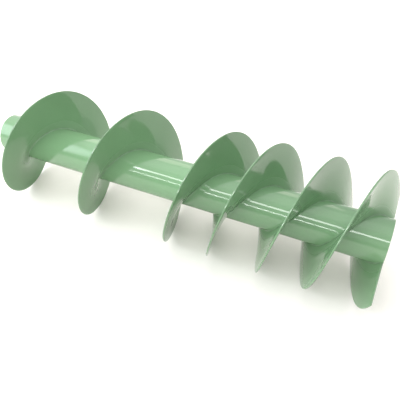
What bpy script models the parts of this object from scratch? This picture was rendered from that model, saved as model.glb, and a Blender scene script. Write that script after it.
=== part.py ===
"""Conveyor auger: a left-hand screw welded from a steel tube and pressed flight plates.

The tube lies along +X. The origin is the centre of the tube's end face at the drive
end, and +Z is up. A main flight runs the whole length, and a second flight joins it
over the last turns, so that end is double-start. A hexagon-bore hub is welded inside
the drive end. A ball bearing sits in a housing welded inside the idle end, and its
inner ring turns on a fixed spindle. All lengths are in metres.
"""

import math

import bmesh
import bpy

# Driving dimensions of the screw
TUBE_LENGTH = 0.875
TUBE_DIAMETER = 0.0889
TUBE_WALL = 0.004
FLIGHT_DIAMETER = 0.260
PITCH = 0.200
PLATE_THICKNESS = 0.003
WELD_LEG = 0.004

# Clearance between pieces that touch on the real object
GAP = 0.0003

# A root weld also clears the facets of the plate beside it
WELD_CLEARANCE = 2 * GAP

# Where each flight starts and ends, measured along the axis to the middle of its plate
MAIN_START = 0.012
SECOND_START = 0.505
FLIGHT_END = 0.873

# Angle of each flight at the origin, from +Y towards +Z
MAIN_PHASE = math.radians(328.4)
SECOND_PHASE = math.radians(140.0)

# The plates of one flight meet in butt welds, each in a gap this wide
SEAM_GAP = 0.0024

# Drive hub: a sleeve with a hexagon bore, held in the tube by two discs
SLEEVE_START = 0.002
SLEEVE_LENGTH = 0.070
SLEEVE_DIAMETER = 0.050
HEX_ACROSS_FLATS = 0.032
DISC_THICKNESS = 0.008
OUTER_DISC_START = 0.010
INNER_DISC_START = 0.058

# Idle bearing, of the 6206 size: 30 mm bore, 62 mm outside, 16 mm wide
BEARING_BORE = 0.030
BEARING_OUTSIDE = 0.062
BEARING_WIDTH = 0.016
BEARING_CENTRE = 0.8503
BALL_COUNT = 9
BALL_DIAMETER = 0.009525
BALL_CIRCLE = 0.046
INNER_SHOULDER = 0.0382
OUTER_SHOULDER = 0.0530
GROOVE_PLAY = 0.0004
GROOVE_STEPS = 4
CAGE_INNER = 0.0424
CAGE_OUTER = 0.0496
CAGE_WIDTH = 0.012
SEAL_THICKNESS = 0.001
SEAL_SETBACK = 0.0004
SEAL_PLAY = 0.0004

# Bearing housing and the ring that keeps the bearing in it
HOUSING_START = 0.832
HOUSING_END = 0.868
HOUSING_SHOULDER_BORE = 0.052
CIRCLIP_THICKNESS = 0.002
CIRCLIP_OUTER = 0.0644
CIRCLIP_INNER = 0.0570
CIRCLIP_OPENING = math.radians(40)
CIRCLIP_EAR_RADIUS = 0.0036
CIRCLIP_EAR_HOLE = 0.00125
CIRCLIP_EAR_INSET = 0.00045
CIRCLIP_GROOVE = 0.0652

# Facets
SIDES = 36
STATION_STEP = 2 * math.pi / SIDES
LEAST_STEP = STATION_STEP / 5
CIRCLIP_STEPS = 32
BALL_SEGMENTS = 12
BALL_RINGS = 8
SMALL_SIDES = 16
SHARP_ANGLE = math.radians(35)

# Turns a bar that stands along Z to lie along X
ALONG_X = (0, math.pi / 2, 0)

# Sizes that follow from the ones above
TUBE_RADIUS = TUBE_DIAMETER / 2
TUBE_INSIDE = TUBE_RADIUS - TUBE_WALL
RIM_RADIUS = FLIGHT_DIAMETER / 2
ROOT_RADIUS = TUBE_RADIUS + GAP
MIDDLE_RADIUS = 0.070
INSERT_RADIUS = TUBE_INSIDE - GAP


def clear_scene():
    for old in list(bpy.data.objects):
        bpy.data.objects.remove(old, do_unlink=True)


def make_material(name, colour, roughness, metallic):
    material = bpy.data.materials.new(name)
    material.use_nodes = True
    shader = material.node_tree.nodes["Principled BSDF"]
    shader.inputs["Base Color"].default_value = (*colour, 1.0)
    shader.inputs["Roughness"].default_value = roughness
    shader.inputs["Metallic"].default_value = metallic
    material.diffuse_color = (*colour, 1.0)
    return material


def make_empty(name, x):
    empty = bpy.data.objects.new(name, None)
    empty.location = (x, 0, 0)
    empty.empty_display_size = TUBE_RADIUS
    bpy.context.scene.collection.objects.link(empty)
    return empty


def make_object(name, mesh_data, material, parent, x=0.0):
    """A piece of its own: faces turned outwards, smooth apart from its sharp edges."""
    bmesh.ops.recalc_face_normals(mesh_data, faces=mesh_data.faces)
    mesh = bpy.data.meshes.new(name)
    mesh_data.to_mesh(mesh)
    mesh_data.free()
    mesh.shade_smooth()
    mesh.set_sharp_from_angle(angle=SHARP_ANGLE)
    if material is not None:
        mesh.materials.append(material)
    piece = bpy.data.objects.new(name, mesh)
    piece.location = (x, 0, 0)
    piece.parent = parent
    bpy.context.scene.collection.objects.link(piece)
    return piece


def turned(name, profile, material, parent, x=0.0):
    """A turned piece: a closed profile of (x, radius) points spun once round the X axis."""
    mesh_data = bmesh.new()
    points = [mesh_data.verts.new((along, radius, 0)) for along, radius in profile]
    edges = [mesh_data.edges.new((a, b)) for a, b in zip(points, points[1:] + points[:1])]
    bmesh.ops.spin(
        mesh_data,
        geom=points + edges,
        cent=(0, 0, 0),
        axis=(1, 0, 0),
        angle=2 * math.pi,
        steps=SIDES,
        use_merge=True,
    )
    return make_object(name, mesh_data, material, parent, x)


def plain_ring(start, end, inner, outer):
    """The profile of a ring with a rectangular section."""
    return [(start, inner), (end, inner), (end, outer), (start, outer)]


def round_bar(segments, radius, length):
    """A plain bar along Z with that many sides, centred on the origin."""
    bar = bmesh.new()
    bmesh.ops.create_cone(
        bar, cap_ends=True, segments=segments, radius1=radius, radius2=radius, depth=length
    )
    return bar


def cut(piece, cutter):
    """Takes the cutter's shape out of the piece."""
    cutter.hide_render = True
    cutter.display_type = "WIRE"
    boolean = piece.modifiers.new("cut_" + cutter.name, "BOOLEAN")
    boolean.operation = "DIFFERENCE"
    boolean.solver = "EXACT"
    boolean.object = cutter


# ---- Helical pieces ----


def plate_centre(phase, angle):
    """How far along the axis the middle of a flight plate is, where it stands at this angle."""
    return (phase - angle) * PITCH / (2 * math.pi)


def plate_angle(phase, x):
    return phase - x * 2 * math.pi / PITCH


def half_thickness(radius):
    """Half of the plate's thickness along the axis. The plate leans more towards its root."""
    lean = math.atan2(PITCH, 2 * math.pi * radius)
    return PLATE_THICKNESS / 2 / math.cos(lean)


def on_screw(x, radius, angle):
    return (x, radius * math.cos(angle), radius * math.sin(angle))


def station_angles(phase, start, end):
    """Angles from one end of a helical piece to the other, on the tube's own facet lines between."""
    first = plate_angle(phase, start)
    last = plate_angle(phase, end)
    facet = math.floor((first - LEAST_STEP) / STATION_STEP)
    angles = [first]
    while facet * STATION_STEP > last + LEAST_STEP:
        angles.append(facet * STATION_STEP)
        facet -= 1
    angles.append(last)
    return angles


def sweep(name, loops, material, parent):
    """Joins closed loops of points, one after the other, and caps both ends."""
    mesh_data = bmesh.new()
    rings = [[mesh_data.verts.new(point) for point in loop] for loop in loops]
    corner_count = len(loops[0])
    for here, there in zip(rings, rings[1:]):
        for a in range(corner_count):
            b = (a + 1) % corner_count
            # Opposite faces of a plate take the same diagonal, so its thickness stays even
            if here[a].co.yz.length <= here[b].co.yz.length:
                mesh_data.faces.new((here[a], here[b], there[b]))
                mesh_data.faces.new((here[a], there[b], there[a]))
            else:
                mesh_data.faces.new((here[a], here[b], there[a]))
                mesh_data.faces.new((here[b], there[b], there[a]))
    mesh_data.faces.new(rings[0])
    mesh_data.faces.new(rings[-1])
    return make_object(name, mesh_data, material, parent)


def plate_loop(phase, angle, shift):
    """The plate's section at one angle. The section moves round the axis by the length shift."""
    corners = [(ROOT_RADIUS, -1), (MIDDLE_RADIUS, -1), (RIM_RADIUS, -1)]
    corners += [(RIM_RADIUS, 1), (MIDDLE_RADIUS, 1), (ROOT_RADIUS, 1)]
    loop = []
    for radius, side in corners:
        turned_to = angle + shift / radius
        x = plate_centre(phase, turned_to) + side * half_thickness(radius)
        loop.append(on_screw(x, radius, turned_to))
    return loop


def flight_plate(name, phase, start, end, cut_at_start, cut_at_end, material, parent):
    """One plate of a flight. An end that meets another plate is cut back by half the seam gap."""
    angles = station_angles(phase, start, end)
    shifts = [0.0] * len(angles)
    if cut_at_start:
        shifts[0] = -SEAM_GAP / 2
    if cut_at_end:
        shifts[-1] = SEAM_GAP / 2
    loops = [plate_loop(phase, angle, shift) for angle, shift in zip(angles, shifts)]
    return sweep(name, loops, material, parent)


def seam_weld(name, phase, x, material, parent):
    """The butt weld that fills the gap between two plates, flush with their faces."""
    angle = plate_angle(phase, x)
    reach = SEAM_GAP / 2 - GAP
    loops = [plate_loop(phase, angle, reach), plate_loop(phase, angle, -reach)]
    return sweep(name, loops, material, parent)


def root_weld(name, phase, start, end, side, material, parent):
    """The fillet weld between the tube and one face of a flight. Side is -1 or 1 along X."""
    toe_radius = ROOT_RADIUS + WELD_LEG
    loops = []
    for angle in station_angles(phase, start, end):
        centre = plate_centre(phase, angle)
        root_x = centre + side * (half_thickness(ROOT_RADIUS) + WELD_CLEARANCE)
        toe_x = centre + side * (half_thickness(toe_radius) + WELD_CLEARANCE)
        loops.append(
            [
                on_screw(root_x, ROOT_RADIUS, angle),
                on_screw(root_x + side * WELD_LEG, ROOT_RADIUS, angle),
                on_screw(toe_x, toe_radius, angle),
            ]
        )
    return sweep(name, loops, material, parent)


def flight(name, phase, start, paint, parent):
    """A whole flight: plates of one turn each, the last one shorter, with all their welds."""
    joints = [start]
    while joints[-1] + PITCH < FLIGHT_END:
        joints.append(joints[-1] + PITCH)
    joints.append(FLIGHT_END)
    last = len(joints) - 2
    for number in range(last + 1):
        plate_name = f"{name}_flight_plate_{number + 1}"
        flight_plate(
            plate_name, phase, joints[number], joints[number + 1], number > 0, number < last, paint, parent
        )
    for number, x in enumerate(joints[1:-1]):
        seam_weld(f"{name}_flight_seam_weld_{number + 1}", phase, x, paint, parent)
    widest_reach = half_thickness(ROOT_RADIUS) + WELD_CLEARANCE + WELD_LEG
    idle_side_end = TUBE_LENGTH - GAP - widest_reach
    root_weld(f"{name}_flight_root_weld_drive_side", phase, start, FLIGHT_END, -1, paint, parent)
    root_weld(f"{name}_flight_root_weld_idle_side", phase, start, idle_side_end, 1, paint, parent)


# ---- Tube and drive hub ----


def ring_weld(name, face_x, radius, into, material, parent):
    """A fillet weld round a face that looks along -X. Into is 1 if the weld grows outwards."""
    foot = face_x - GAP
    profile = [(foot, radius), (foot - WELD_LEG, radius), (foot, radius + into * WELD_LEG)]
    return turned(name, profile, material, parent)


def core_tube(paint, parent):
    turned("core_tube", plain_ring(0, TUBE_LENGTH, TUBE_INSIDE, TUBE_RADIUS), paint, parent)


def drive_hub(steel, paint, parent):
    sleeve_radius = SLEEVE_DIAMETER / 2
    sleeve_middle = SLEEVE_START + SLEEVE_LENGTH / 2

    solid = round_bar(SIDES, sleeve_radius, SLEEVE_LENGTH)
    sleeve = make_object("drive_hub_sleeve", solid, steel, parent, sleeve_middle)
    sleeve.rotation_euler = ALONG_X

    corner_radius = HEX_ACROSS_FLATS / math.sqrt(3)
    hexagon = round_bar(6, corner_radius, 2 * SLEEVE_LENGTH)
    bore = make_object("hexagon_bore", hexagon, None, parent, sleeve_middle)
    bore.rotation_euler = ALONG_X
    cut(sleeve, bore)

    disc_bore = sleeve_radius + GAP
    for name, start in (("outer", OUTER_DISC_START), ("inner", INNER_DISC_START)):
        section = plain_ring(0, DISC_THICKNESS, disc_bore, INSERT_RADIUS)
        turned(f"drive_hub_{name}_disc", section, paint, parent, start)
        ring_weld(f"drive_hub_{name}_disc_weld", start, disc_bore, 1, paint, parent)
    ring_weld("drive_hub_to_tube_weld", OUTER_DISC_START, INSERT_RADIUS, -1, paint, parent)


# ---- Idle bearing and its housing ----


def groove(centre_radius, radius, outward, shoulder):
    """Points of a ball groove in section, from -X to +X, that meet the shoulder's radius."""
    half_angle = math.acos(abs(shoulder - centre_radius) / radius)
    points = []
    for step in range(GROOVE_STEPS + 1):
        angle = half_angle * (2 * step / GROOVE_STEPS - 1)
        x = radius * math.sin(angle)
        points.append((x, centre_radius + outward * radius * math.cos(angle)))
    return points


def bearing_housing(paint, parent):
    outer = INSERT_RADIUS
    seat = BEARING_OUTSIDE / 2 + GAP
    shoulder_bore = HOUSING_SHOULDER_BORE / 2
    seat_start = BEARING_CENTRE - BEARING_WIDTH / 2 - GAP
    groove_start = BEARING_CENTRE + BEARING_WIDTH / 2
    groove_end = groove_start + CIRCLIP_THICKNESS + 2 * GAP
    groove_radius = CIRCLIP_GROOVE / 2
    profile = [
        (HOUSING_START, shoulder_bore),
        (seat_start, shoulder_bore),
        (seat_start, seat),
        (groove_start, seat),
        (groove_start, groove_radius),
        (groove_end, groove_radius),
        (groove_end, seat),
        (HOUSING_END, seat),
        (HOUSING_END, outer),
        (HOUSING_START, outer),
    ]
    turned("bearing_housing", profile, paint, parent)

    foot = HOUSING_END + GAP
    weld = [(foot, INSERT_RADIUS), (foot + WELD_LEG, INSERT_RADIUS), (foot, INSERT_RADIUS - WELD_LEG)]
    turned("bearing_housing_weld", weld, paint, parent)


def bearing_rings(steel, bearing):
    half = BEARING_WIDTH / 2
    ball_line = BALL_CIRCLE / 2
    groove_radius = BALL_DIAMETER / 2 + GROOVE_PLAY

    inner_groove = groove(ball_line, groove_radius, -1, INNER_SHOULDER / 2)
    inner = [(-half, BEARING_BORE / 2), (half, BEARING_BORE / 2), (half, INNER_SHOULDER / 2)]
    inner += inner_groove[::-1] + [(-half, INNER_SHOULDER / 2)]
    turned("bearing_inner_ring", inner, steel, bearing)

    outer_groove = groove(ball_line, groove_radius, 1, OUTER_SHOULDER / 2)
    outer = [(half, BEARING_OUTSIDE / 2), (-half, BEARING_OUTSIDE / 2), (-half, OUTER_SHOULDER / 2)]
    outer += outer_groove + [(half, OUTER_SHOULDER / 2)]
    turned("bearing_outer_ring", outer, steel, bearing)


def ball_place(number):
    """The centre of one ball in its pocket."""
    angle = 2 * math.pi * number / BALL_COUNT
    return (0, BALL_CIRCLE / 2 * math.cos(angle), BALL_CIRCLE / 2 * math.sin(angle))


def bearing_balls(steel, cage_frame):
    for number in range(BALL_COUNT):
        sphere = bmesh.new()
        bmesh.ops.create_uvsphere(
            sphere, u_segments=BALL_SEGMENTS, v_segments=BALL_RINGS, radius=BALL_DIAMETER / 2
        )
        ball = make_object(f"bearing_ball_{number + 1}", sphere, steel, cage_frame)
        ball.location = ball_place(number)


def bearing_cage(steel, cage_frame):
    half = CAGE_WIDTH / 2
    section = plain_ring(-half, half, CAGE_INNER / 2, CAGE_OUTER / 2)
    cage = turned("bearing_cage", section, steel, cage_frame)
    pockets = bmesh.new()
    for number in range(BALL_COUNT):
        made = bmesh.ops.create_uvsphere(
            pockets,
            u_segments=BALL_SEGMENTS,
            v_segments=BALL_RINGS,
            radius=BALL_DIAMETER / 2 + GROOVE_PLAY,
        )
        bmesh.ops.translate(pockets, verts=made["verts"], vec=ball_place(number))
    cut(cage, make_object("ball_pockets", pockets, None, cage_frame))


def bearing_seals(rubber, bearing):
    inner = INNER_SHOULDER / 2 + SEAL_PLAY
    outer = OUTER_SHOULDER / 2 - SEAL_PLAY
    for name, side in (("inboard", -1), ("outboard", 1)):
        far = side * (BEARING_WIDTH / 2 - SEAL_SETBACK)
        near = far - side * SEAL_THICKNESS
        section = plain_ring(min(near, far), max(near, far), inner, outer)
        turned(f"bearing_{name}_seal", section, rubber, bearing)


def circlip(steel, parent):
    """The spring ring that holds the bearing: an open ring with an ear and a hole at each end."""
    start = BEARING_CENTRE + BEARING_WIDTH / 2 + GAP
    inner = CIRCLIP_INNER / 2
    outer = CIRCLIP_OUTER / 2
    ear_circle = inner - CIRCLIP_EAR_INSET
    first_angle = math.pi / 2 + CIRCLIP_OPENING / 2
    last_angle = first_angle + 2 * math.pi - CIRCLIP_OPENING

    ring = bmesh.new()
    section = plain_ring(0, CIRCLIP_THICKNESS, inner, outer)
    corners = [ring.verts.new(on_screw(x, radius, first_angle)) for x, radius in section]
    face = ring.faces.new(corners)
    bmesh.ops.spin(
        ring,
        geom=[face],
        cent=(0, 0, 0),
        axis=(1, 0, 0),
        angle=last_angle - first_angle,
        steps=CIRCLIP_STEPS,
    )
    clip = make_object("bearing_circlip", ring, steel, parent, start)

    for number, angle in enumerate((first_angle, last_angle)):
        place = (start + CIRCLIP_THICKNESS / 2, ear_circle * math.cos(angle), ear_circle * math.sin(angle))
        for kind, radius, depth in (
            ("ear", CIRCLIP_EAR_RADIUS, CIRCLIP_THICKNESS),
            ("hole", CIRCLIP_EAR_HOLE, 2 * CIRCLIP_THICKNESS),
        ):
            disc = round_bar(SMALL_SIDES, radius, depth)
            tool = make_object(f"circlip_{kind}_{number + 1}", disc, None, parent)
            tool.location = place
            tool.rotation_euler = ALONG_X
            cut(clip, tool)
            if kind == "ear":
                clip.modifiers[-1].operation = "UNION"


def build():
    clear_scene()
    paint = make_material("green_paint", (0.16, 0.34, 0.17), 0.22, 0.0)
    steel = make_material("machined_steel", (0.55, 0.55, 0.56), 0.35, 1.0)
    bearing_steel = make_material("bearing_steel", (0.72, 0.72, 0.73), 0.18, 1.0)
    spring_steel = make_material("blackened_steel", (0.06, 0.06, 0.065), 0.4, 1.0)
    rubber = make_material("seal_rubber", (0.02, 0.02, 0.022), 0.6, 0.0)

    auger = make_empty("auger", 0.0)
    bearing = make_empty("idle_bearing", BEARING_CENTRE)
    bearing.parent = auger
    cage_frame = make_empty("cage_and_balls", 0.0)
    cage_frame.parent = bearing

    core_tube(paint, auger)
    flight("main", MAIN_PHASE, MAIN_START, paint, auger)
    flight("second", SECOND_PHASE, SECOND_START, paint, auger)
    drive_hub(steel, paint, auger)
    bearing_housing(paint, auger)
    bearing_rings(bearing_steel, bearing)
    bearing_cage(steel, cage_frame)
    bearing_balls(bearing_steel, cage_frame)
    bearing_seals(rubber, bearing)
    circlip(spring_steel, auger)


build()
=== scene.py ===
"""Looks of the conveyor auger: fine meshes and painted-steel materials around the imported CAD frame.

The screw's axis is X, its drive end is at x = 0, and +Z is up. Lengths are in metres.
"""

import math

import bpy
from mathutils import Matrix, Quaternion, Vector


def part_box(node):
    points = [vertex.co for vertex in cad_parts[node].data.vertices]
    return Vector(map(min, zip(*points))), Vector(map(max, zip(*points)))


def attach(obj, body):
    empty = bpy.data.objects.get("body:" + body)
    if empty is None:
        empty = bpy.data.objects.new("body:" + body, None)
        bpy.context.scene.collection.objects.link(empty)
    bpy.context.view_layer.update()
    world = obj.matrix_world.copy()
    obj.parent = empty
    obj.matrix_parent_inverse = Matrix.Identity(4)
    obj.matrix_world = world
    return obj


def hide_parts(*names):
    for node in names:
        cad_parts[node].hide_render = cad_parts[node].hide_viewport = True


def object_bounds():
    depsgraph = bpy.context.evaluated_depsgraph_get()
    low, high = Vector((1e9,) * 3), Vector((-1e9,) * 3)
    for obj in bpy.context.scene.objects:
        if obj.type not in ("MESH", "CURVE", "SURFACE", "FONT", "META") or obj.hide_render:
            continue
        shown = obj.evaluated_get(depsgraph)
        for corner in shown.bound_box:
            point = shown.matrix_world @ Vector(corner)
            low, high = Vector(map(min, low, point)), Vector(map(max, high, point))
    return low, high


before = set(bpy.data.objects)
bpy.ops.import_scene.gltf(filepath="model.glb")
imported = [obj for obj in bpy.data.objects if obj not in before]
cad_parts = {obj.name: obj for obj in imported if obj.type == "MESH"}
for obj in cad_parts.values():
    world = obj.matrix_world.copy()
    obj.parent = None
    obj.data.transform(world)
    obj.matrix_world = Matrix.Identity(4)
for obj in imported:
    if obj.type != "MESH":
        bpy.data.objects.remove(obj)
cad_low, cad_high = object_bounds()

# ---- Sizes, read from the frame where it holds them ----

TUBE_LOW, TUBE_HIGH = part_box("core_tube")
TUBE_LENGTH = TUBE_HIGH[0] - TUBE_LOW[0]
TUBE_RADIUS = TUBE_HIGH[1]
TUBE_WALL = 0.004
RIM_RADIUS = cad_high[2]
PITCH = 0.200
PLATE_THICKNESS = 0.003
WELD_LEG = 0.004
FLOOR_HEIGHT = cad_low[2]

# Each flight: its angle at x = 0 from +Y towards +Z, where it starts, and how many plates it has
FLIGHTS = {
    "main": (math.radians(328.4), 0.012, 5),
    "second": (math.radians(140.0), 0.505, 2),
}
FLIGHT_END = 0.873

# A skin this thin sinks a weld or plate into what it is welded to, so no gap shows
WELD_OVERLAP = 0.0002

# How far a pressed plate strays from a true helicoid at its rim
PRESS_WAVE = 0.00022

HEX_ACROSS_FLATS = 0.032
HUB_MOUTH_RADIUS = 0.0205

HOUSING_BORE = 0.026
HOUSING_SEAT = 0.0313
HOUSING_SEAT_START = 0.8420
CIRCLIP_GROOVE_RADIUS = 0.0326
CIRCLIP_GROOVE = (0.8583, 0.8609)

BEARING_CENTRE = 0.8503
BEARING_BORE = 0.015
OUTER_RING_SHOULDER = 0.0265
SEAL_BORE = 0.0195
BALL_CIRCLE_RADIUS = 0.023
BALL_RADIUS = 0.0047625
BALL_COUNT = 9
GROOVE_RADIUS = BALL_RADIUS + 0.0004

# How far from the tube the paint on a plate is dull
DRY_SPRAY_REACH = 0.032

# ---- Mesh detail ----

TURN_STEPS = 180
FACE_STEPS = 12
ROUND_STEPS = 4
TURNED_SIDES = 160
WELD_POINTS = 7

# ---- Camera and light ----

CAMERA_PLACE = Vector((0.8199, -0.6983, 0.6212))
CAMERA_AZIMUTH = math.radians(24.95)
CAMERA_ELEVATION = math.radians(40.42)
CAMERA_LENS = 42.78


def turned_point(x, radius, angle):
    return (x, radius * math.cos(angle), radius * math.sin(angle))


# ---- Materials ----


class Nodes:
    """A short way to write a node tree."""

    def __init__(self, name):
        self.material = bpy.data.materials.new(name)
        self.material.use_nodes = True
        self.tree = self.material.node_tree
        self.shader = self.tree.nodes["Principled BSDF"]

    def add(self, kind, **settings):
        node = self.tree.nodes.new(kind)
        for key, value in settings.items():
            if key in node.inputs:
                node.inputs[key].default_value = value
            else:
                setattr(node, key, value)
        return node

    def link(self, output, socket):
        self.tree.links.new(output, socket)

    def noise(self, scale, detail=3.0, roughness=0.55, stretch=(1, 1, 1)):
        """Noise in the object's own coordinates. Scale is in features per metre."""
        place = self.add("ShaderNodeTexCoord")
        mapping = self.add("ShaderNodeMapping")
        mapping.inputs["Scale"].default_value = stretch
        self.link(place.outputs["Object"], mapping.inputs["Vector"])
        noise = self.add("ShaderNodeTexNoise", Scale=scale, Detail=detail, Roughness=roughness)
        self.link(mapping.outputs["Vector"], noise.inputs["Vector"])
        return noise.outputs["Fac"]

    def ramp(self, source, stops):
        """A colour ramp. Stops are (position, colour or grey value)."""
        node = self.add("ShaderNodeValToRGB")
        ramp = node.color_ramp
        while len(ramp.elements) < len(stops):
            ramp.elements.new(0.5)
        for element, (position, colour) in zip(ramp.elements, stops):
            element.position = position
            if isinstance(colour, (int, float)):
                colour = (colour, colour, colour)
            element.color = (*colour, 1.0)
        self.link(source, node.inputs["Fac"])
        return node.outputs["Color"]

    def mix(self, factor, first, second, blend="MIX"):
        node = self.add("ShaderNodeMix", data_type="RGBA", blend_type=blend)
        sockets = {s.identifier: s for s in node.inputs}
        for key, value in (("Factor_Float", factor), ("A_Color", first), ("B_Color", second)):
            socket = sockets[key]
            if isinstance(value, bpy.types.NodeSocket):
                self.link(value, socket)
            elif isinstance(value, tuple):
                socket.default_value = (*value, 1.0)
            else:
                socket.default_value = value
        return {s.identifier: s for s in node.outputs}["Result_Color"]

    def bump(self, height, strength, distance, normal=None):
        node = self.add("ShaderNodeBump", Strength=strength, Distance=distance)
        self.link(height, node.inputs["Height"])
        if normal is not None:
            self.link(normal, node.inputs["Normal"])
        return node.outputs["Normal"]


def green_paint(name, weld=False, plate=False):
    """Glossy pale green enamel: slight orange peel, faint colour drift, and painted shade darkening the rims.

    It is duller on a weld, and darker there with painted shade standing in for the shaded corner at the plate
    root, and dulls towards the root of a plate, where the spray lands dry.
    """
    nodes = Nodes(name)
    shader = nodes.shader
    drift = nodes.noise(6.0, detail=2.0)
    base = nodes.ramp(drift, [(0.3, (0.153, 0.286, 0.149)), (0.7, (0.166, 0.307, 0.162))])
    speckle = nodes.noise(900.0, detail=1.0)
    tint = nodes.ramp(speckle, [(0.35, 0.94), (0.65, 1.0)])
    base = nodes.mix(1.0, base, tint, "MULTIPLY")
    if weld:
        # Painted shade: this darkens the weld paint all over, standing in for the shade at the plate roots;
        # the hub discs use this paint too
        crevice_shade = nodes.ramp(nodes.noise(70.0, detail=4.0), [(0.35, 0.66), (0.70, 0.90)])
        base = nodes.mix(1.0, base, crevice_shade, "MULTIPLY")

    # Painted shade: rounded rims and plate ends are darkened towards (0.105, 0.175, 0.10), broken up by
    # noise, to tone down the light they catch
    edge = nodes.add("ShaderNodeAttribute", attribute_name="edge")
    breakup = nodes.noise(140.0, detail=4.0)
    rim_shade = nodes.add("ShaderNodeMath", operation="MULTIPLY")
    nodes.link(edge.outputs["Fac"], rim_shade.inputs[0])
    nodes.link(nodes.ramp(breakup, [(0.35, 0.35), (0.62, 0.85)]), rim_shade.inputs[1])
    base = nodes.mix(rim_shade.outputs[0], base, (0.105, 0.175, 0.10))
    nodes.link(base, shader.inputs["Base Color"])

    smudge = nodes.noise(22.0, detail=5.0, roughness=0.6)
    rough_low, rough_high = (0.32, 0.46) if weld else (0.035, 0.10)
    rough = nodes.ramp(smudge, [(0.35, rough_low), (0.75, rough_high)])
    if plate:
        place = nodes.add("ShaderNodeTexCoord")
        across = nodes.add("ShaderNodeVectorMath", operation="MULTIPLY")
        across.inputs[1].default_value = (0.0, 1.0, 1.0)
        nodes.link(place.outputs["Object"], across.inputs[0])
        radius = nodes.add("ShaderNodeVectorMath", operation="LENGTH")
        nodes.link(across.outputs["Vector"], radius.inputs[0])
        dull = nodes.add("ShaderNodeMapRange", interpolation_type="SMOOTHSTEP")
        dull.inputs["From Min"].default_value = TUBE_RADIUS
        dull.inputs["From Max"].default_value = TUBE_RADIUS + DRY_SPRAY_REACH
        dull.inputs["To Min"].default_value = 0.55
        dull.inputs["To Max"].default_value = 0.0
        nodes.link(radius.outputs["Value"], dull.inputs["Value"])
        both = nodes.add("ShaderNodeMath", operation="ADD")
        nodes.link(rough, both.inputs[0])
        nodes.link(dull.outputs["Result"], both.inputs[1])
        rough = both.outputs[0]
    nodes.link(rough, shader.inputs["Roughness"])

    peel = nodes.noise(330.0, detail=2.0)
    sag = nodes.noise(28.0, detail=1.0)
    normal = nodes.bump(sag, 0.012, 0.004)
    normal = nodes.bump(peel, 0.03, 0.0006, normal)
    nodes.link(normal, shader.inputs["Normal"])
    shader.inputs["IOR"].default_value = 1.58
    return nodes.material


def steel(name, colour, rough, lines, scale=220.0):
    """Bare steel with fine turning lines round X, light staining and small scratches."""
    nodes = Nodes(name)
    shader = nodes.shader
    stain = nodes.noise(90.0, detail=5.0)
    dark = tuple(0.72 * c for c in colour)
    nodes.link(nodes.ramp(stain, [(0.35, dark), (0.65, colour)]), shader.inputs["Base Color"])
    shader.inputs["Metallic"].default_value = 1.0
    nodes.link(nodes.ramp(nodes.noise(60.0), [(0.3, rough), (0.7, rough + 0.14)]), shader.inputs["Roughness"])
    grooves = nodes.noise(scale, detail=2.0, stretch=(lines, 1, 1))
    nodes.link(nodes.bump(grooves, 0.12, 0.0002), shader.inputs["Normal"])
    return nodes.material


def rubber(name):
    """Matt black moulded rubber with a grey bloom."""
    nodes = Nodes(name)
    shader = nodes.shader
    bloom = nodes.noise(260.0, detail=6.0)
    black = nodes.ramp(bloom, [(0.4, (0.012, 0.012, 0.013)), (0.75, (0.040, 0.040, 0.042))])
    nodes.link(black, shader.inputs["Base Color"])
    nodes.link(nodes.ramp(bloom, [(0.3, 0.5), (0.7, 0.72)]), shader.inputs["Roughness"])
    nodes.link(nodes.bump(nodes.noise(1500.0), 0.15, 0.0002), shader.inputs["Normal"])
    return nodes.material


PAINT = green_paint("enamel")
PLATE_PAINT = green_paint("enamel_on_plate", plate=True)
WELD_PAINT = green_paint("enamel_on_weld", weld=True)
TURNED_STEEL = steel("turned_steel", (0.56, 0.55, 0.53), 0.28, 6.0)
BEARING_STEEL = steel("ground_steel", (0.74, 0.74, 0.75), 0.10, 3.0, 500.0)
PRESSED_STEEL = steel("pressed_steel", (0.50, 0.49, 0.47), 0.30, 1.0)
SPRING_STEEL = steel("blackened_steel", (0.055, 0.055, 0.060), 0.38, 1.0)
RUBBER = rubber("seal_rubber")


# ---- Turning surfaces into pieces ----


def finish_piece(name, points, faces, material, body, replaced, edge=None, sharp=35):
    """One mesh piece. Edge weighs each point's painted rim shade, and edges sharper than sharp degrees stay
    crisp.
    """
    mesh = bpy.data.meshes.new(name)
    mesh.from_pydata(points, [], faces)
    mesh.validate()
    mesh.shade_smooth()
    mesh.set_sharp_from_angle(angle=math.radians(sharp))
    layer = mesh.attributes.new("edge", "FLOAT", "POINT")
    if edge is not None:
        layer.data.foreach_set("value", edge)
    mesh.materials.append(material)
    piece = bpy.data.objects.new(name, mesh)
    bpy.context.scene.collection.objects.link(piece)
    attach(piece, body)
    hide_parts(*replaced)


def grid_faces(rows, columns, close_rows=False, first=0, flip=False):
    """Quads over a grid of points. Columns always join up in a loop, and rows on demand."""
    faces = []
    for row in range(rows if close_rows else rows - 1):
        for column in range(columns):
            here = first + row * columns
            there = first + (row + 1) % rows * columns
            after = (column + 1) % columns
            quad = (here + column, here + after, there + after, there + column)
            faces.append(quad[::-1] if flip else quad)
    return faces


def lathe(name, profile, material, replaced, body="auger", bead=None):
    """A closed profile of (x, radius) turned round X. bead(index, angle) is what to add to x and radius."""
    points = []
    for side in range(TURNED_SIDES):
        angle = 2 * math.pi * side / TURNED_SIDES
        for number, (x, radius) in enumerate(profile):
            dx, dr = bead(number, angle) if bead else (0, 0)
            points.append(turned_point(x + dx, radius + dr, angle))
    faces = grid_faces(TURNED_SIDES, len(profile), close_rows=True, flip=True)
    finish_piece(name, points, faces, material, body, replaced)


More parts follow.
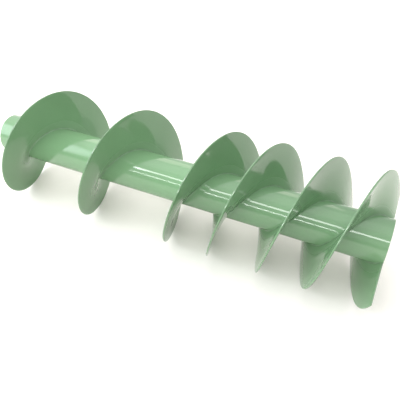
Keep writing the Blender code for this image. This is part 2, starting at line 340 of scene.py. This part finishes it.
def rounded(profile, radius, steps=3):
    """The profile with each corner turned into a small arc."""
    out = []
    count = len(profile)
    for number in range(count):
        before, corner, after = (Vector(profile[(number + k) % count]) for k in (-1, 0, 1))
        back = before - corner
        ahead = after - corner
        reach = min(radius, back.length * 0.45, ahead.length * 0.45)
        start = corner + back.normalized() * reach
        end = corner + ahead.normalized() * reach
        for step in range(steps + 1):
            t = step / steps
            point = start * (1 - t) ** 2 + corner * 2 * t * (1 - t) + end * t**2
            out.append((point.x, point.y))
    return out


def ring_section(start, end, inner, outer):
    """A rectangular section, in the order that turns its surface outwards."""
    return [(start, inner), (start, outer), (end, outer), (end, inner)]


# ---- Flights ----


def plate_x(phase, angle):
    return (phase - angle) * PITCH / (2 * math.pi)


def plate_angle(phase, x):
    return phase - x * 2 * math.pi / PITCH


def half_thickness(radius):
    return PLATE_THICKNESS / 2 / math.cos(math.atan2(PITCH, 2 * math.pi * radius))


def press_wave(phase, angle, radius):
    """The pressed plates aren't quite true: a slow wave, nil at the root and full at the rim."""
    reach = (radius - TUBE_RADIUS) / (RIM_RADIUS - TUBE_RADIUS)
    wave = math.sin(2.0 * angle + 3.0 * phase) + 0.6 * math.sin(5.0 * angle - phase)
    return PRESS_WAVE * reach * wave


def plate_section(inset):
    """The plate's section as (radius, side from -1 to 1, edge weight): two faces and a rounded rim."""
    root = TUBE_RADIUS - WELD_OVERLAP
    rim = RIM_RADIUS - inset
    corner = 0.0011
    rows = []
    for step in range(FACE_STEPS + 1):
        share = step / FACE_STEPS
        rows.append((root + (rim - corner - root) * share, 1.0, 0.0))
    half = PLATE_THICKNESS / 2
    for step in range(1, ROUND_STEPS + 1):
        turn = math.pi / 2 * step / ROUND_STEPS
        side = (half - corner + corner * math.cos(turn)) / half
        rows.append((rim - corner + corner * math.sin(turn), side, step / ROUND_STEPS))
    back = [(radius, -side, weight) for radius, side, weight in rows[::-1]]
    return rows + back


def flight_plate(name, phase, start, end, replaced):
    """One plate as a fine helicoid with a rounded rim and slightly eased ends."""
    first = plate_angle(phase, start)
    last = plate_angle(phase, end)
    steps = max(2, round(abs(first - last) / (2 * math.pi) * TURN_STEPS))
    ease = 0.0004
    margin = 2 * ease / RIM_RADIUS
    angles = [first]
    for step in range(steps + 1):
        angles.append(first - margin + (last - first + 2 * margin) * step / steps)
    angles.append(last)
    points = []
    edges = []
    for number, angle in enumerate(angles):
        at_end = number in (0, len(angles) - 1)
        for radius, side, weight in plate_section(ease if at_end else 0.0):
            reach = half_thickness(radius) - (ease if at_end else 0.0)
            x = plate_x(phase, angle) + side * reach + press_wave(phase, angle, radius)
            points.append(turned_point(x, radius, angle))
            # The rim and both plate ends carry the weight for the painted rim shade
            edges.append(max(weight, 1.0 if at_end else 0.0))
    columns = len(points) // len(angles)
    faces = grid_faces(len(angles), columns, flip=True)
    faces.append(tuple(range(columns)))
    faces.append(tuple(range(len(points) - columns, len(points)))[::-1])
    finish_piece(name, points, faces, PLATE_PAINT, "auger", replaced, edges)


def weld_ripple(distance, seed):
    """How a hand-laid bead swells and shrinks along its length, from about -1 to 1."""
    ripple = math.sin(distance * 2 * math.pi / 0.0032 + seed)
    swell = math.sin(distance * 2 * math.pi / 0.047 + 2 * seed)
    swell += math.sin(distance * 2 * math.pi / 0.0173 + seed)
    return 0.45 * ripple + 0.3 * swell


def bead_point(leg, turn, hollow):
    """A point on a fillet bead's face: how far along one leg and up the other. Hollow near 1 is concave."""
    along = leg * (1 - hollow * math.sin(turn) - (1 - hollow) * (1 - math.cos(turn)))
    up = leg * (1 - hollow * math.cos(turn) - (1 - hollow) * (1 - math.sin(turn)))
    return along, up


def root_weld(name, phase, start, end, side, replaced):
    """The fillet bead between tube and plate: concave, with ripples, running out at both ends."""
    first = plate_angle(phase, start)
    last = plate_angle(phase, end)
    pace = math.hypot(TUBE_RADIUS, PITCH / (2 * math.pi))
    stride = 0.0011
    steps = round(abs(first - last) * pace / stride)
    points = []
    for step in range(steps + 1):
        angle = first + (last - first) * step / steps
        distance = step * stride
        run_out = min(1.0, 0.35 + min(step, steps - step) / 12)
        leg = WELD_LEG * run_out * (0.86 + 0.09 * weld_ripple(distance, 7 * phase + side))
        face = plate_x(phase, angle)
        for number in range(WELD_POINTS):
            turn = math.pi / 2 * number / (WELD_POINTS - 1)
            along, up = bead_point(leg, turn, 0.86)
            radius = TUBE_RADIUS - WELD_OVERLAP + up
            x = face + side * (half_thickness(radius) - WELD_OVERLAP + along)
            points.append(turned_point(x, radius, angle))
        # The hidden corner closes the bead between plate and tube
        x = face + side * (half_thickness(TUBE_RADIUS) - 0.0008)
        points.append(turned_point(x, TUBE_RADIUS - 0.0006, angle))
    columns = WELD_POINTS + 1
    faces = grid_faces(steps + 1, columns, flip=side > 0)
    ends = [tuple(range(columns)), tuple(range(len(points) - columns, len(points)))[::-1]]
    if side < 0:
        ends = [face[::-1] for face in ends]
    finish_piece(name, points, faces + ends, WELD_PAINT, "auger", replaced, sharp=60)


def seam_weld(name, phase, x_middle, replaced):
    """The butt weld across a plate: a low rippled bead on both faces, ground off at the rim."""
    middle = plate_angle(phase, x_middle)
    first_radius = TUBE_RADIUS + 0.001
    last_radius = RIM_RADIUS - 0.0002
    rows = 80
    around = 20
    points = []
    for row in range(rows + 1):
        radius = first_radius + (last_radius - first_radius) * row / rows
        swell = 1 + 0.12 * weld_ripple(radius, 3 * phase + x_middle * 50)
        flush = min(1.0, (rows - row) / 4)
        for column in range(around):
            turn = 2 * math.pi * column / around
            across = 0.0032 * swell * math.cos(turn)
            lift = (0.00045 * flush + 0.00005) * swell
            side = math.sin(turn)
            reach = (half_thickness(radius) + lift) * math.copysign(abs(side) ** 0.5, side)
            angle = middle - across / radius
            x = plate_x(phase, angle) + reach + press_wave(phase, angle, radius)
            points.append(turned_point(x, radius, angle))
    faces = grid_faces(rows + 1, around, flip=True)
    faces.append(tuple(range(around)))
    faces.append(tuple(range(len(points) - around, len(points)))[::-1])
    finish_piece(name, points, faces, WELD_PAINT, "auger", replaced, sharp=60)


def flights():
    for name, (phase, start, count) in FLIGHTS.items():
        for number in range(count):
            node = f"{name}_flight_plate_{number + 1}"
            begin = start + number * PITCH
            end = min(begin + PITCH, FLIGHT_END)
            flight_plate("fine_" + node, phase, begin, end, [node])
            if number:
                seam = f"{name}_flight_seam_weld_{number}"
                seam_weld("fine_" + seam, phase, begin, [seam])
        idle_end = TUBE_LENGTH - WELD_LEG - half_thickness(TUBE_RADIUS) - 0.0009
        for side, word, end in ((-1, "drive", FLIGHT_END), (1, "idle", idle_end)):
            node = f"{name}_flight_root_weld_{word}_side"
            root_weld("fine_" + node, phase, start, end, side, [node])


# ---- Tube and drive hub ----


def tube():
    inside = TUBE_RADIUS - TUBE_WALL
    section = rounded(ring_section(0, TUBE_LENGTH, inside, TUBE_RADIUS), 0.0007)
    lathe("fine_core_tube", section, PAINT, ["core_tube"])


def ring_bead(name, node, face_x, radius, into, away):
    """A fillet bead round a ring. Into is the side of the radius it grows to, away the side of the face."""
    leg = WELD_LEG * 0.9
    sunk = 0.0003
    profile = [(face_x + away * leg, radius - into * sunk)]
    for number in range(1, WELD_POINTS):
        along, up = bead_point(leg, math.pi / 2 * number / WELD_POINTS, 0.62)
        profile.append((face_x + away * along, radius + into * up))
    profile.append((face_x - away * sunk, radius + into * leg))
    profile.append((face_x - away * sunk, radius - into * sunk))
    if into * away > 0:
        profile = profile[::-1]

    last = len(profile)

    def bead(number, angle):
        if number in (last - 1, last - 2, 0):
            return (0, 0)
        swell = 0.0005 * weld_ripple(angle * radius, into + 5 * face_x)
        return (away * swell * 0.7, into * swell * 0.7)

    lathe(name, profile, WELD_PAINT, [node], bead=bead)


def hexagon_radius(angle):
    """Distance from the axis to the wall of the hexagon bore, whose corners point along Y."""
    sector = math.pi / 3
    off = (angle % sector) - sector / 2
    return HEX_ACROSS_FLATS / 2 / math.cos(off)


def hub_sleeve():
    low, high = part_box("drive_hub_sleeve")
    start, end, outer = low[0], high[0], high[1]
    ease = 0.0012
    depths = [0.0003 * step for step in range(17)]
    sides = 384
    points = []
    for side in range(sides):
        angle = 2 * math.pi * side / sides
        wall = hexagon_radius(angle)
        loop = [(start + ease, outer), (end - ease, outer), (end, outer - ease)]
        for depth in depths:
            loop.append((end - depth, max(wall, HUB_MOUTH_RADIUS - depth)))
        for depth in depths[::-1]:
            loop.append((start + depth, max(wall, HUB_MOUTH_RADIUS - depth)))
        loop.append((start, outer - ease))
        points += [turned_point(x, radius, angle) for x, radius in loop]
    columns = len(points) // sides
    faces = grid_faces(sides, columns, close_rows=True, flip=True)
    finish_piece(
        "fine_drive_hub_sleeve", points, faces, TURNED_STEEL, "auger", ["drive_hub_sleeve"]
    )


def drive_hub():
    hub_sleeve()
    for word in ("outer", "inner"):
        node = f"drive_hub_{word}_disc"
        low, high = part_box(node)
        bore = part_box("drive_hub_sleeve")[1][1] + 0.0002
        section = rounded(ring_section(low[0], high[0], bore, high[1]), 0.0005)
        lathe("fine_" + node, section, WELD_PAINT, [node])
        ring_bead(f"fine_{node}_weld", f"{node}_weld", low[0], bore, 1, -1)
    low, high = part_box("drive_hub_outer_disc")
    ring_bead("fine_drive_hub_to_tube_weld", "drive_hub_to_tube_weld", low[0], high[1], -1, -1)


# ---- Idle bearing ----


def bearing_housing():
    low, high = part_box("bearing_housing")
    start, end, outer = low[0], high[0], high[1]
    groove_start, groove_end = CIRCLIP_GROOVE
    section = [
        (start, HOUSING_BORE),
        (start, outer),
        (end, outer),
        (end, HOUSING_SEAT),
        (groove_end, HOUSING_SEAT),
        (groove_end, CIRCLIP_GROOVE_RADIUS),
        (groove_start, CIRCLIP_GROOVE_RADIUS),
        (groove_start, HOUSING_SEAT),
        (HOUSING_SEAT_START, HOUSING_SEAT),
        (HOUSING_SEAT_START, HOUSING_BORE),
    ]
    section = rounded(section, 0.0004, 2)
    lathe("fine_bearing_housing", section, TURNED_STEEL, ["bearing_housing"])
    ring_bead("fine_bearing_housing_weld", "bearing_housing_weld", end, outer, -1, 1)


def groove_points(shoulder, outward):
    """The ball groove of a ring whose shoulder has this radius. Outward is 1 for the outer ring, else -1."""
    half = math.acos(abs(shoulder - BALL_CIRCLE_RADIUS) / GROOVE_RADIUS)
    points = []
    for step in range(25):
        turn = half * (step / 12 - 1)
        x = BEARING_CENTRE + GROOVE_RADIUS * math.sin(turn)
        points.append((x, BALL_CIRCLE_RADIUS + outward * GROOVE_RADIUS * math.cos(turn)))
    return points


def bearing_rings():
    ease, shoulder_ease = 0.0009, 0.0003
    low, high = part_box("bearing_inner_ring")
    left, right, shoulder = low[0], high[0], high[1]
    section = [
        (left + ease, BEARING_BORE),
        (left, BEARING_BORE + ease),
        (left, shoulder - shoulder_ease),
        (left + shoulder_ease, shoulder),
        *groove_points(shoulder, -1),
        (right - shoulder_ease, shoulder),
        (right, shoulder - shoulder_ease),
        (right, BEARING_BORE + ease),
        (right - ease, BEARING_BORE),
    ]
    replaced = ["bearing_inner_ring"]
    lathe("fine_bearing_inner_ring", section, BEARING_STEEL, replaced, "inner_ring")

    low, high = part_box("bearing_outer_ring")
    left, right, outside = low[0], high[0], high[1]
    shoulder = OUTER_RING_SHOULDER
    section = [
        (right - ease, outside),
        (right, outside - ease),
        (right, shoulder + shoulder_ease),
        (right - shoulder_ease, shoulder),
        *groove_points(shoulder, 1)[::-1],
        (left + shoulder_ease, shoulder),
        (left, shoulder + shoulder_ease),
        (left, outside - ease),
        (left + ease, outside),
    ]
    lathe("fine_bearing_outer_ring", section, BEARING_STEEL, ["bearing_outer_ring"])


def bearing_balls():
    around, rings = 40, 20
    for number in range(BALL_COUNT):
        node = f"bearing_ball_{number + 1}"
        turn = 2 * math.pi * number / BALL_COUNT
        centre = Vector(turned_point(BEARING_CENTRE, BALL_CIRCLE_RADIUS, turn))
        points = [tuple(centre + Vector((0, 0, BALL_RADIUS)))]
        for ring in range(1, rings):
            height = math.pi * ring / rings
            for step in range(around):
                side = 2 * math.pi * step / around
                across = math.sin(height)
                spot = Vector((across * math.cos(side), across * math.sin(side), math.cos(height)))
                points.append(tuple(centre + BALL_RADIUS * spot))
        points.append(tuple(centre - Vector((0, 0, BALL_RADIUS))))
        faces = grid_faces(rings - 1, around, first=1, flip=True)
        bottom = len(points) - 1
        for step in range(around):
            after = (step + 1) % around
            faces.append((0, 1 + step, 1 + after))
            faces.append((bottom, bottom - around + after, bottom - around + step))
        finish_piece("fine_" + node, points, faces, BEARING_STEEL, "ball_cage", [node])


def bearing_seals():
    for word, side in (("inboard", -1), ("outboard", 1)):
        node = f"bearing_{word}_seal"
        low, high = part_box(node)
        out = high[0] if side > 0 else low[0]
        back = low[0] if side > 0 else high[0]
        inner, outer = SEAL_BORE, high[1]
        sink = out - side * 0.00035
        section = [
            (back, inner + 0.0004),
            (out - side * 0.0002, inner),
            (out, inner + 0.0006),
            (out, inner + 0.0014),
            (sink, inner + 0.0020),
            (sink, outer - 0.0022),
            (out, outer - 0.0016),
            (out, outer - 0.0004),
            (out - side * 0.0003, outer),
            (back, outer),
        ]
        if side < 0:
            section = section[::-1]
        lathe("fine_" + node, rounded(section, 0.0002, 2)[::-1], RUBBER, [node])


def circlip():
    """A flat spring ring with eased corners, open at the top, with an ear and a hole at each end."""
    low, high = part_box("bearing_circlip")
    left, right = low[0], high[0]
    outer, inner = 0.0322, 0.0285
    opening = math.radians(40)
    first = math.pi / 2 + opening / 2
    sweep = 2 * math.pi - opening
    section = rounded(ring_section(left, right, inner, outer), 0.0002, 2)
    steps = 128
    points = []
    for step in range(steps + 1):
        angle = first + sweep * step / steps
        points += [turned_point(x, radius, angle) for x, radius in section]
    columns = len(section)
    faces = grid_faces(steps + 1, columns, flip=True)
    faces.append(tuple(range(columns)))
    faces.append(tuple(range(len(points) - columns, len(points)))[::-1])
    ear_radius, hole_radius, ear_circle = 0.0036, 0.00125, inner - 0.0036 / 8
    for angle in (first, first + sweep):
        y, z = ear_circle * math.cos(angle), ear_circle * math.sin(angle)
        ring = rounded(ring_section(left, right, hole_radius, ear_radius), 0.0002, 2)
        begin = len(points)
        around = 48
        for step in range(around):
            turn = 2 * math.pi * step / around
            for x, radius in ring:
                points.append((x, y + radius * math.cos(turn), z + radius * math.sin(turn)))
        faces += grid_faces(around, len(ring), close_rows=True, first=begin, flip=True)
    replaced = ["bearing_circlip"]
    finish_piece("fine_bearing_circlip", points, faces, SPRING_STEEL, "auger", replaced)


def cad_materials():
    """The cage keeps its CAD shape."""
    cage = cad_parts["bearing_cage"]
    cage.data.materials.clear()
    cage.data.materials.append(PRESSED_STEEL)


# ---- Stage ----


def stage_material():
    nodes = Nodes("floor_paper")
    fibre = nodes.noise(35.0, detail=3.0)
    paper = nodes.ramp(fibre, [(0.3, (0.84, 0.81, 0.78)), (0.7, (0.86, 0.83, 0.80))])
    nodes.link(paper, nodes.shader.inputs["Base Color"])
    nodes.shader.inputs["Roughness"].default_value = 0.9
    return nodes.material


def floor():
    size = 12.0
    mesh = bpy.data.meshes.new("floor")
    corners = [(-size, -size), (size, -size), (size, size), (-size, size)]
    mesh.from_pydata([(x, y, FLOOR_HEIGHT) for x, y in corners], [], [(0, 1, 2, 3)])
    mesh.materials.append(stage_material())
    paper = bpy.data.objects.new("floor", mesh)
    bpy.context.scene.collection.objects.link(paper)


def area_light(name, place, aim, size_x, size_y, power, colour=(1, 1, 1), shape="RECTANGLE", roll=0.0):
    data = bpy.data.lights.new(name, "AREA")
    data.shape = shape
    data.size, data.size_y = size_x, size_y
    data.energy = power
    data.color = colour
    light = bpy.data.objects.new(name, data)
    light.location = place
    direction = Vector(aim) - Vector(place)
    turn = Quaternion((0, 0, 1), math.radians(roll))
    light.rotation_euler = (direction.to_track_quat("-Z", "Y") @ turn).to_euler()
    bpy.context.scene.collection.objects.link(light)


def world_light():
    """A white studio: bright behind the screw, a dim band low in front, and a cool window low on the left."""
    world = bpy.data.worlds.new("studio")
    world.use_nodes = True
    tree = world.node_tree
    sky = tree.nodes["Background"]
    place = tree.nodes.new("ShaderNodeTexCoord")
    split = tree.nodes.new("ShaderNodeSeparateXYZ")
    tree.links.new(place.outputs["Generated"], split.inputs["Vector"])

    def fade(source, low, high, first, last):
        """A smooth change from first to last as the source goes from low to high."""
        node = tree.nodes.new("ShaderNodeMapRange")
        node.interpolation_type = "SMOOTHSTEP"
        for socket, value in (("From Min", low), ("From Max", high), ("To Min", first), ("To Max", last)):
            node.inputs[socket].default_value = value
        tree.links.new(source, node.inputs["Value"])
        return node.outputs["Result"]

    def combine(operation, first, second):
        node = tree.nodes.new("ShaderNodeMath")
        node.operation = operation
        tree.links.new(first, node.inputs[0])
        tree.links.new(second, node.inputs[1])
        return node.outputs["Value"]

    rise = fade(split.outputs["Z"], 0.16, 0.36, 0.55, 1.30)
    front = combine("ADD", rise, fade(split.outputs["Z"], 0.6, 1.0, 0.0, 0.45))
    behind = fade(split.outputs["Z"], 0.3, 1.0, 1.15, 1.75)
    share = fade(split.outputs["Y"], -0.25, 0.25, 0.0, 1.0)
    room = tree.nodes.new("ShaderNodeMix")
    tree.links.new(share, room.inputs["Factor"])
    tree.links.new(front, room.inputs["A"])
    tree.links.new(behind, room.inputs["B"])
    room = combine("MULTIPLY", room.outputs["Result"], fade(split.outputs["X"], -0.1, 0.7, 1.0, 0.55))

    facing = tree.nodes.new("ShaderNodeVectorMath")
    facing.operation = "DOT_PRODUCT"
    facing.inputs[1].default_value = Vector((-0.828, -0.369, 0.423)).normalized()
    tree.links.new(place.outputs["Generated"], facing.inputs[0])
    tint = tree.nodes.new("ShaderNodeVectorMath")
    tint.operation = "SCALE"
    tint.inputs[0].default_value = (0.86, 0.97, 1.0)
    tree.links.new(fade(facing.outputs["Value"], 0.90, 0.965, 0.0, 3.6), tint.inputs["Scale"])
    total = tree.nodes.new("ShaderNodeVectorMath")
    total.operation = "ADD"
    tree.links.new(room, total.inputs[0])
    tree.links.new(tint.outputs["Vector"], total.inputs[1])
    tree.links.new(total.outputs["Vector"], sky.inputs["Color"])
    bpy.context.scene.world = world


def lights():
    world_light()
    # Two thin strips along the screw draw the long highlights on the tube
    area_light("upper_strip", (0.28, -1.40, 1.46), (0.28, 0, 0), 2.3, 0.24, 16.0, roll=-5.0)
    area_light("lower_strip", (0.10, -1.90, 0.82), (0.10, 0, 0), 1.8, 0.06, 7.5, roll=-2.0)
    cool, warm = (0.88, 0.97, 1.0), (1.0, 0.90, 0.82)
    area_light("window_strip", (-0.72, -1.20, 1.32), (0.3, 0, 0), 0.5, 0.16, 2.5, cool, "ELLIPSE")
    area_light("softbox", (0.00, 0.20, 2.30), (0.00, 0, 0), 3.2, 1.8, 8.0)
    area_light("back_light", (-0.30, 1.50, 1.15), (0.10, 0.10, -0.13), 2.4, 1.0, 12.0, warm)


def camera():
    data = bpy.data.cameras.new("camera")
    data.sensor_width = 36.0
    data.lens = CAMERA_LENS
    eye = bpy.data.objects.new("camera", data)
    a, e = CAMERA_AZIMUTH, CAMERA_ELEVATION
    back = Vector((math.sin(a) * math.cos(e), -math.cos(a) * math.cos(e), math.sin(e)))
    eye.location = CAMERA_PLACE
    eye.rotation_mode = "QUATERNION"
    eye.rotation_quaternion = (-back).to_track_quat("-Z", "Y")
    bpy.context.scene.collection.objects.link(eye)
    bpy.context.scene.camera = eye


camera()
tube()
flights()
drive_hub()
bearing_housing()
bearing_rings()
bearing_balls()
bearing_seals()
circlip()
cad_materials()
floor()
lights()
bpy.context.scene.view_settings.view_transform = "Standard"
